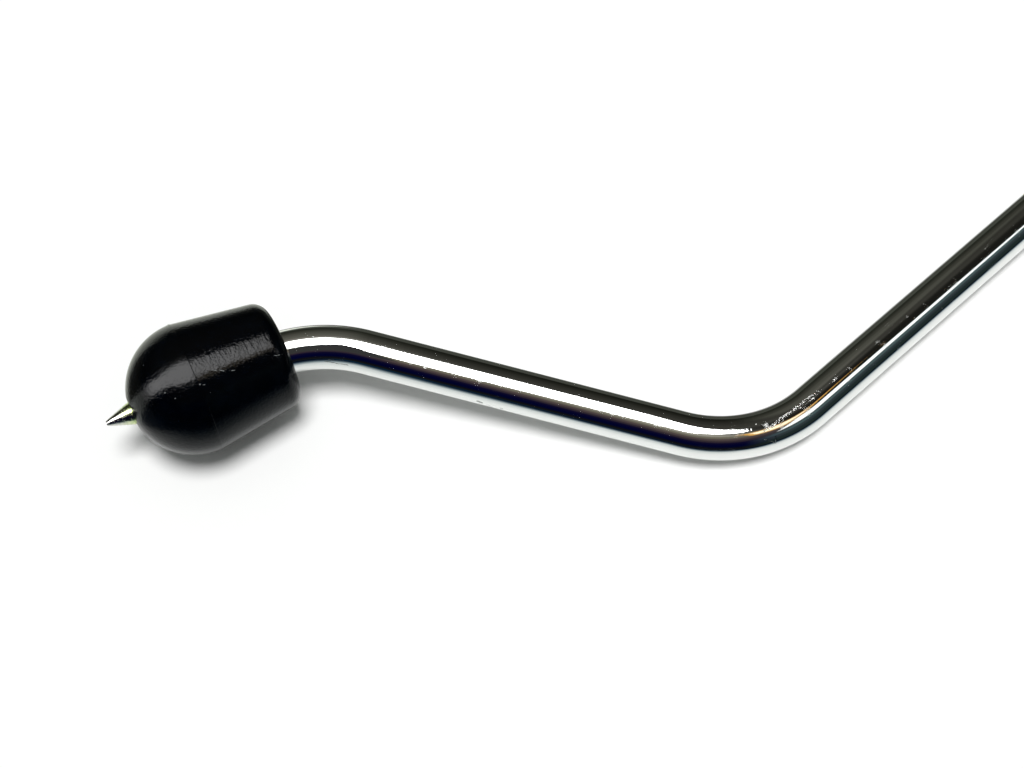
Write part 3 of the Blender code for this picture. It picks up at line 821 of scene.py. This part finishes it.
bore = [
    (BORE_RADIUS + BORE_MOUTH, -FOOT_BODY_LENGTH),
    (BORE_RADIUS + BORE_MOUTH * 0.3, -FOOT_BODY_LENGTH + BORE_MOUTH * 0.3),
    (BORE_RADIUS, -FOOT_BODY_LENGTH + BORE_MOUTH),
    (BORE_RADIUS, pocket_back),
    (FLANGE_RADIUS + SEAT_GAP, pocket_back),
    (FLANGE_RADIUS + SEAT_GAP, BUSH_BACK + FLANGE_THICKNESS + SEAT_GAP),
    (pocket_radius, BUSH_BACK + FLANGE_THICKNESS + SEAT_GAP),
    (pocket_radius, BUSH_BACK + BUSH_LENGTH + SEAT_GAP),
    (SPIKE_HOLE_RADIUS, BUSH_BACK + BUSH_LENGTH + SEAT_GAP),
]
lip_level = shoulder_radius * sin(lip_angle)
lip = [
    (SPIKE_HOLE_RADIUS, lip_level - SPIKE_HOLE_LIP),
    (SPIKE_HOLE_RADIUS + SPIKE_HOLE_LIP * 0.3, lip_level - SPIKE_HOLE_LIP * 0.25),
]
outline = lip + mould_marks(dome) + bead + mould_marks(body[:-1]) + fillet + bore
foot = turned("rubber_foot", outline, FOOT_SIDES, closed=True)
lay_on_axis(foot)

# %% [markdown]
# The rubber is almost pure black and has a sheen, so its look is all in how it mirrors. Rubber mirrors
# weakly from straight above and strongly at a glancing angle, which is why the edges pale and only the
# ceiling panel shows as a grey streak. Fine mould rings round the axis fray that streak along its length.
# A few pale specks and two curved scuffs lie where the photograph has them.

# %% Foot finish
RUBBER_IOR = 1.28
FOOT_SCUFFS = [
    ((5.85, -4.1), (7.07, -6.5), 0.12),
    ((7.07, -6.5), (7.84, -8.8), 0.11),
    ((8.33, -18.2), (8.77, -20.2), 0.12),
]
FOOT_SPECKS = [((7.8, -0.5), (7.8, -0.4), 0.20), ((6.5, 7.2), (6.5, 7.3), 0.14), ((8.6, 5.7), (8.6, 5.8), 0.14),
               ((8.3, -1.0), (8.3, -1.2), 0.13)]
rubber, rubber_tree, rubber_shader = new_finish("black_rubber")
place = upright_place(rubber_tree)
unrolled = use_group(rubber_tree, roll_group, Place=place, Radius=shoulder_radius)["Flat place"]
mould = use_group(rubber_tree, rings_group, Place=place, Around=420.0, Along=1900.0, Detail=2.0)["Height"]
grain = noise(rubber_tree, place, 1800.0)
waves = noise(rubber_tree, place, 260.0, 3.0)
specks = use_group(rubber_tree, speck_group, Place=place, Spacing=0.0016, Radius=0.00011, Share=0.12)["Mask"]
specks = maths(rubber_tree, "MAXIMUM", specks, scratches(rubber_tree, unrolled, FOOT_SPECKS))
scuffs = scratches(rubber_tree, unrolled, FOOT_SCUFFS)
scuffs = maths(rubber_tree, "MULTIPLY", scuffs, fade(rubber_tree, grain, 0.45, 0.6))
level = maths(rubber_tree, "MULTIPLY", fade(rubber_tree, mould, 0.40, 0.60), 0.000010)
level = maths(rubber_tree, "MULTIPLY_ADD", fade(rubber_tree, grain, 0.40, 0.60), 0.000011, level)
level = maths(rubber_tree, "MULTIPLY_ADD", waves, 0.000010, level)
rough_up(rubber_tree, rubber_shader, level, 1.0)
pale = maths(rubber_tree, "MAXIMUM", maths(rubber_tree, "MULTIPLY", specks, 0.7), scuffs)
black = blend_colours(rubber_tree, fade(rubber_tree, waves, 0.4, 0.7), (0.0001, 0.0003, 0.0008, 1),
                      (0.0003, 0.0008, 0.0019, 1))
feed(rubber_tree, rubber_shader.inputs["Base Color"],
     blend_colours(rubber_tree, pale, black, (0.16, 0.17, 0.17, 1)))
sheen = fade(rubber_tree, noise(rubber_tree, place, 1600.0, 4.0), 0.35, 0.65, 0.06, 0.13)
feed(rubber_tree, rubber_shader.inputs["Roughness"], maths(rubber_tree, "MULTIPLY_ADD", pale, 0.4, sheen))
rubber_shader.inputs["IOR"].default_value = RUBBER_IOR
foot.data.materials.append(rubber)
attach(foot, "foot")
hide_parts("foot_rubber")
print("rubber", len(rubber_tree.nodes), "nodes")

# %% [markdown]
# ## The spike
# The stud is turned from one piece of steel and zinc plated: a plain shank in the bar, a thread, and the
# cone that bites into a carpet. A threaded rod is wound first, and the turned outline is then cut from
# it, as on a lathe, so the last turns of thread run out on the cone as they do on the real one.

# %% Spike sizes
THREAD_PITCH = 0.00075
STUD_REACH = 0.0266
SPIKE_LENGTH = 0.0068
TIP_RADIUS = 0.00065
SPIKE_BARE_POINT = 0.0019
TURNING_MARK = 0.000045
THREAD_STEPS = 48
STUD_SIDES = 120
spike_tip = ROD_END + STUD_REACH
thread_root = THREAD_RADIUS - 0.6134 * THREAD_PITCH

# %% Wind the thread
thread_low = ROD_END - SHANK_LENGTH - 3 * THREAD_PITCH
rod_low = ROD_END - SHANK_LENGTH - 0.51 * THREAD_PITCH
crest_flat = THREAD_PITCH / 8
root_flat = THREAD_PITCH / 4
flank = (THREAD_PITCH - crest_flat - root_flat) / 2
one_turn = [
    (thread_root, thread_low + THREAD_PITCH),
    (thread_root, thread_low + THREAD_PITCH - root_flat),
    (THREAD_RADIUS, thread_low + THREAD_PITCH - root_flat - flank),
    (THREAD_RADIUS, thread_low + flank),
    (thread_root, thread_low),
]
stud = draw_section("zinc_spike", one_turn, False)
winding = stud.modifiers.new("winding", "SCREW")
winding.axis = "Z"
winding.steps = THREAD_STEPS
winding.render_steps = THREAD_STEPS
winding.screw_offset = THREAD_PITCH
winding.iterations = int((spike_tip - thread_low) / THREAD_PITCH) + 2
winding.use_merge_vertices = False
winding.use_normal_calculate = True
pick(stud)
bpy.ops.object.modifier_apply(modifier="winding")
bpy.ops.object.mode_set(mode="EDIT")
bpy.ops.mesh.select_all(action="SELECT")
bpy.ops.mesh.remove_doubles(threshold=0.000001)
# A reach below a step of the thread, so that the cut rod is closed at both ends.
for level, keep_below in ((rod_low, False), (spike_tip + THREAD_PITCH / 2, True)):
    bpy.ops.mesh.select_all(action="SELECT")
    bpy.ops.mesh.bisect(plane_co=(0, 0, level), plane_no=(0, 0, 1), use_fill=True, threshold=1e-7,
                        clear_outer=keep_below, clear_inner=not keep_below)
finish_mesh(stud)

# %% Cut the stud to its turned outline
slope = (THREAD_RADIUS - TIP_RADIUS) / SPIKE_LENGTH
cone = [(0, spike_tip), (TIP_RADIUS * 0.8, spike_tip), (TIP_RADIUS, spike_tip - TIP_RADIUS * 0.3)]
marks = int((SPIKE_LENGTH - SPIKE_BARE_POINT) / THREAD_PITCH)
for mark in range(marks):
    for part, depth in ((0.0, 0.0), (0.25, 0.55), (0.5, 1.0), (0.75, 0.55)):
        below_tip = SPIKE_BARE_POINT + (mark + part) * THREAD_PITCH
        cone.append((TIP_RADIUS + slope * below_tip - TURNING_MARK * depth, spike_tip - below_tip))
outside = THREAD_RADIUS + 0.0002
cone.append((outside, spike_tip - (outside - TIP_RADIUS) / slope))
shank = [
    (outside, ROD_END + SEAT_GAP),
    (SHANK_RADIUS, ROD_END + SEAT_GAP),
    (SHANK_RADIUS, ROD_END - SHANK_LENGTH),
    (0, ROD_END - SHANK_LENGTH),
]
blank = turned("turned_outline", cone + shank, STUD_SIDES)
pick(stud)
cut = stud.modifiers.new("lathe", "BOOLEAN")
cut.operation = "INTERSECT"
cut.solver = "EXACT"
cut.object = blank
bpy.ops.object.modifier_apply(modifier="lathe")
bpy.data.objects.remove(blank)
finish_mesh(stud)
lay_on_axis(stud)

# %% [markdown]
# The stud's zinc plate is passivated, which gives it a thin clear film that turns yellow-green where it is
# thick. It is thickest near the rubber, where nothing rubs it off, and the point is worn to plain metal.

# %% Spike finish
zinc, zinc_tree, zinc_shader = new_finish("zinc_plate")
place = upright_place(zinc_tree)
along_axis = add_node(zinc_tree, "ShaderNodeSeparateXYZ")
feed(zinc_tree, along_axis.inputs["Vector"], place)
to_tip = fade(zinc_tree, along_axis.outputs["Z"], spike_tip - 0.0062, spike_tip - 0.0020)
turning = use_group(zinc_tree, rings_group, Place=place, Around=260.0, Along=4200.0, Detail=2.0)["Height"]
blotches = noise(zinc_tree, place, 1700.0, 3.0)
film = blend_colours(zinc_tree, fade(zinc_tree, blotches, 0.35, 0.65), (0.50, 0.62, 0.30, 1), (0.72, 0.76, 0.46, 1))
feed(zinc_tree, zinc_shader.inputs["Base Color"], blend_colours(zinc_tree, to_tip, film, (0.62, 0.62, 0.57, 1)))
level = maths(zinc_tree, "MULTIPLY", turning, 0.000012)
rough_up(zinc_tree, zinc_shader, maths(zinc_tree, "MULTIPLY_ADD", blotches, 0.000045, level), 1.0)
feed(zinc_tree, zinc_shader.inputs["Roughness"], fade(zinc_tree, turning, 0.3, 0.7, 0.14, 0.28))
zinc_shader.inputs["Metallic"].default_value = 1.0
stud.data.materials.append(zinc)
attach(stud, "leg")
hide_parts("spike_stud")
print("zinc", len(zinc_tree.nodes), "nodes")

# %% [markdown]
# ## The pieces inside the foot
# The bush and the split washer never show with the foot in place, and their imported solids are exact. They
# keep those solids and get the finish of turned brass and of oiled spring steel.

# %% Brass and spring steel
def give_material(node, made):
    """Puts a material on a CAD node in place of its own."""
    piece = frame["nodes"][node]
    piece.data.materials.clear()
    piece.data.materials.append(made)


def turned_metal(name, bright, dull, ring_depth, smooth, rough):
    """A machined metal: rings about the foot's axis, and patches that have gone dull."""
    made, tree, shader = new_finish(name)
    place = upright_place(tree)
    turning = use_group(tree, rings_group, Place=place, Around=200.0, Along=5000.0, Detail=2.0)["Height"]
    patches = fade(tree, noise(tree, place, 420.0, 4.0), 0.4, 0.65)
    feed(tree, shader.inputs["Base Color"], blend_colours(tree, patches, bright, dull))
    feed(tree, shader.inputs["Roughness"], fade(tree, patches, 0.0, 1.0, smooth, rough))
    rough_up(tree, shader, maths(tree, "MULTIPLY", turning, ring_depth), 1.0)
    shader.inputs["Metallic"].default_value = 1.0
    return made


brass = turned_metal("brass", (0.80, 0.62, 0.31, 1), (0.62, 0.46, 0.22, 1), 0.000006, 0.20, 0.38)
steel = turned_metal("spring_steel", (0.46, 0.46, 0.47, 1), (0.26, 0.25, 0.25, 1), 0.000004, 0.28, 0.45)
give_material("threaded_bush", brass)
give_material("lock_washer", steel)

# %% [markdown]
# ## Table
# The leg lies on a plain white table. For glossy rays alone the table's colour is a painted reflection, which is
# white only close to the leg and darker by how far each point lies in front of or behind the straight runs. On the
# near side the painted reflection fades to a dark blue within 10 cm. Behind the bar and past the spike it is dark
# at once, which paints the thin dark line along the bar's upper edge. One pale painted strip past the spike carries
# the foot's streak down to the spike.

# %% Table
TABLE_REACH = 60
PAPER = (0.97, 0.97, 0.965, 1)
# Colours of the table that only glossy rays see, a painted reflection: dark behind the bar, pale behind the foot.
PAINTED_REFLECTION_BEHIND = (0.060, 0.062, 0.052, 1)
PAINTED_REFLECTION_BEHIND_FOOT = (0.86, 0.89, 0.80, 1)
BEHIND_EDGE = 0.006
BEHIND_FADE = 0.012
PAPER_REACH = 0.25
# The painted reflection in front of the leg, fading from white to dark blue with distance.
NEAR_PAINTED_REFLECTION = [
    (0.000, (0.97, 0.97, 0.965)),
    (0.012, (0.91, 0.92, 0.91)),
    (0.031, (0.70, 0.73, 0.73)),
    (0.046, (0.34, 0.39, 0.41)),
    (0.062, (0.13, 0.17, 0.20)),
    (0.087, (0.030, 0.050, 0.070)),
    (0.140, (0.004, 0.010, 0.022)),
    (0.250, (0.000, 0.003, 0.012)),
]
# A painted highlight: a pale strip of the painted reflection past the spike.
SPIKE_GLEAM = (0.80, 0.84, 0.80, 1)
GLEAM_START = Vector((-0.250, 0.050, 0))

bpy.ops.object.select_all(action="DESELECT")
bpy.ops.mesh.primitive_circle_add(vertices=64, radius=TABLE_REACH, fill_type="NGON", location=(0, 0, 0))
table = bpy.context.object
table.name = "table"
paper = bpy.data.materials.new("table_paper")
paper.use_nodes = True
paper_tree = paper.node_tree
paper_shader = paper_tree.nodes["Principled BSDF"]
paper_shader.inputs["Roughness"].default_value = 0.9
paper_shader.inputs["Specular IOR Level"].default_value = 0.0
on_table = add_node(paper_tree, "ShaderNodeTexCoord").outputs["Object"]


def table_distance(through, way):
    """How far a point of the table lies past another point, in one direction."""
    flat_way = Vector((way.x, way.y, 0)).normalized()
    reach = vector_maths(paper_tree, "DOT_PRODUCT", on_table, flat_way, "Value")
    return maths(paper_tree, "SUBTRACT", reach, through.dot(flat_way))


def in_front(through, way):
    """How far a point of the table lies in front of a run of the leg, on the camera's side of it."""
    return table_distance(through, Vector((-way.y, way.x, 0)))


def past_line(distance):
    """The mask of the table behind a run."""
    return fade(paper_tree, distance, -BEHIND_EDGE, -BEHIND_EDGE - BEHIND_FADE)


def painted_reflection_ramp(distance, stops):
    """The painted reflection colour of the paper, from its distance in front of the leg."""
    share = maths(paper_tree, "DIVIDE", distance, PAPER_REACH, clamp=True)
    return ramp(paper_tree, share, [(reach / PAPER_REACH, colour) for reach, colour in stops])


before_long = in_front(lower_corner, long_way)
before_middle = in_front(lower_corner, middle_way)
before_foot = in_front(shoulder_centre, foot_way)
past_runs = maths(paper_tree, "MAXIMUM", past_line(before_middle), past_line(before_foot))
past_leg = maths(paper_tree, "MULTIPLY", past_line(before_long), past_runs)
place_on_table = add_node(paper_tree, "ShaderNodeSeparateXYZ")
feed(paper_tree, place_on_table.inputs["Vector"], on_table)
east, north = place_on_table.outputs["X"], place_on_table.outputs["Y"]
by_foot = maths(paper_tree, "MULTIPLY", fade(paper_tree, east, -0.160, -0.185), fade(paper_tree, east, -0.270, -0.248))
by_foot = maths(paper_tree, "MULTIPLY", by_foot, fade(paper_tree, north, 0.055, 0.070))
by_foot = maths(paper_tree, "MULTIPLY", by_foot, fade(paper_tree, north, 0.14, 0.24, 1.0, 0.55))
# Painted reflection behind the leg: dark behind the bar, pale behind the foot.
behind = blend_colours(paper_tree, by_foot, PAINTED_REFLECTION_BEHIND, PAINTED_REFLECTION_BEHIND_FOOT)
before_leg = maths(paper_tree, "MINIMUM", before_middle, before_foot)
before_leg = maths(paper_tree, "MAXIMUM", before_long, before_leg)
past_spike = table_distance(shoulder_centre, foot_way)
past_spike = maths(paper_tree, "MULTIPLY_ADD", before_foot, -0.45, past_spike)
past_spike = fade(paper_tree, past_spike, 0.022, 0.050, 0.0, 0.92)
past_spike = maths(paper_tree, "MULTIPLY", past_spike, fade(paper_tree, east, -0.225, -0.245))
# Painted reflection in front of the leg, darker with distance, and dark blue past the spike.
near_painted_reflection = painted_reflection_ramp(before_leg, NEAR_PAINTED_REFLECTION)
near_painted_reflection = blend_colours(paper_tree, past_spike, near_painted_reflection, (0.0, 0.02, 0.05, 1))
mirrored = blend_colours(paper_tree, past_leg, near_painted_reflection, behind)
gleam_along = table_distance(GLEAM_START, PANEL_ALONG)
gleam_across = maths(paper_tree, "ABSOLUTE", table_distance(GLEAM_START, PANEL_ACROSS))
gleam_across = maths(paper_tree, "MULTIPLY_ADD", gleam_along, -0.14, gleam_across)
gleam = maths(paper_tree, "MULTIPLY", fade(paper_tree, gleam_along, 0.008, 0.016),
              fade(paper_tree, gleam_across, 0.006, 0.002))
# The pale painted strip past the spike paints the foot's highlight streak down to the spike.
mirrored = blend_colours(paper_tree, gleam, mirrored, SPIKE_GLEAM)
paper_rays = add_node(paper_tree, "ShaderNodeLightPath")
# Camera and diffuse rays see plain white paper; glossy rays see the painted reflection.
feed(paper_tree, paper_shader.inputs["Base Color"],
     blend_colours(paper_tree, paper_rays.outputs["Is Glossy Ray"], PAPER, mirrored))
table.data.materials.append(paper)
print("table", len(paper_tree.nodes), "nodes")

# %% [markdown]
# ## Lamp
# The shadows fall straight down beside the bar, a little to its lower right, with soft edges as wide as the
# bar is high. A sun 84 degrees up and 23 degrees across does that. The plain fill from the world gives a
# quarter of the table's light, which is how pale the photograph's shadows are, and both together light a
# colour about as it is written. The sun doesn't show in the chrome, because the painted room is there.

# %% Lamp
SUN_WAY = direction(-128.5, 84)
SUN_WIDTH = radians(22.8)
SUN_LIGHT = 0.83
bpy.ops.object.select_all(action="DESELECT")
bpy.ops.object.light_add(type="SUN", location=SUN_WAY, rotation=SUN_WAY.to_track_quat("Z", "Y").to_euler())
sun = bpy.context.object
sun.name = "soft_lamp"
sun.data.energy = SUN_LIGHT * pi
sun.data.angle = SUN_WIDTH
sun.visible_glossy = False
print("lamp", round(sun.data.energy, 2), "on the table with the fill", round(SUN_LIGHT + FILL_LIGHT[1], 3))

# %% [markdown]
# The ceiling panel is painted on a world that is endlessly far away, so the bar and the foot see it at the
# same angle. The real one is close, and the foot, 10 cm from the bend, sees more of its near end. A small
# panel above the foot gives the rubber that end. Only glossy rays see it, and in the chrome it falls inside
# the reflection of the painted one.

# %% Near end of the panel
PANEL_END_PLACE = Vector((-0.024, -0.065, 0.616))
PANEL_END_SIZE = (0.132, 0.192)


def glossy_plane(name, place, size, turned_by, strength):
    """A flat light, or a dark board that paints shade into reflections, that only glossy rays see."""
    bpy.ops.object.select_all(action="DESELECT")
    bpy.ops.mesh.primitive_plane_add(size=1, location=place, rotation=(pi, 0, turned_by))
    plane = bpy.context.object
    plane.name = name
    plane.scale = (*size, 1)
    bpy.ops.object.transform_apply(location=True, rotation=True, scale=True)
    light = bpy.data.materials.new(name)
    light.use_nodes = True
    light.node_tree.nodes.clear()
    glow = add_node(light.node_tree, "ShaderNodeEmission")
    glow.inputs["Strength"].default_value = strength
    output = add_node(light.node_tree, "ShaderNodeOutputMaterial")
    light.node_tree.links.new(glow.outputs["Emission"], output.inputs["Surface"])
    light.cycles.emission_sampling = "NONE"
    plane.data.materials.append(light)
    plane.visible_camera = False
    plane.visible_diffuse = False
    plane.visible_transmission = False
    plane.visible_shadow = False
    print(name, "at", tuple(round(value, 3) for value in place))


glossy_plane("panel_end", PANEL_END_PLACE, PANEL_END_SIZE, 0.0, PANEL_STRENGTH)

# %% [markdown]
# The rubber doesn't show the warm lamp and the window that the chrome mirrors at the lower bend. A small dark
# board that only glossy rays see stands between them and the foot and paints that shade into the rubber's
# reflection; it glows faintly, at strength 0.04. The bar's own mirrored rays leave in other directions and miss it.

# %% Dark board
BOARD_TURN = radians(-12.2)
BOARD_SIZE = (0.056, 0.018)
BOARD_EDGE = Vector((-0.2340, 0.0293, 0.045))
board_middle = BOARD_EDGE - Vector((-sin(BOARD_TURN), cos(BOARD_TURN), 0)) * BOARD_SIZE[1] / 2
# Painted shade: a dark board seen only in reflections, glowing faintly at strength 0.04.
glossy_plane("painted_shade_board", board_middle, BOARD_SIZE, BOARD_TURN, 0.04)
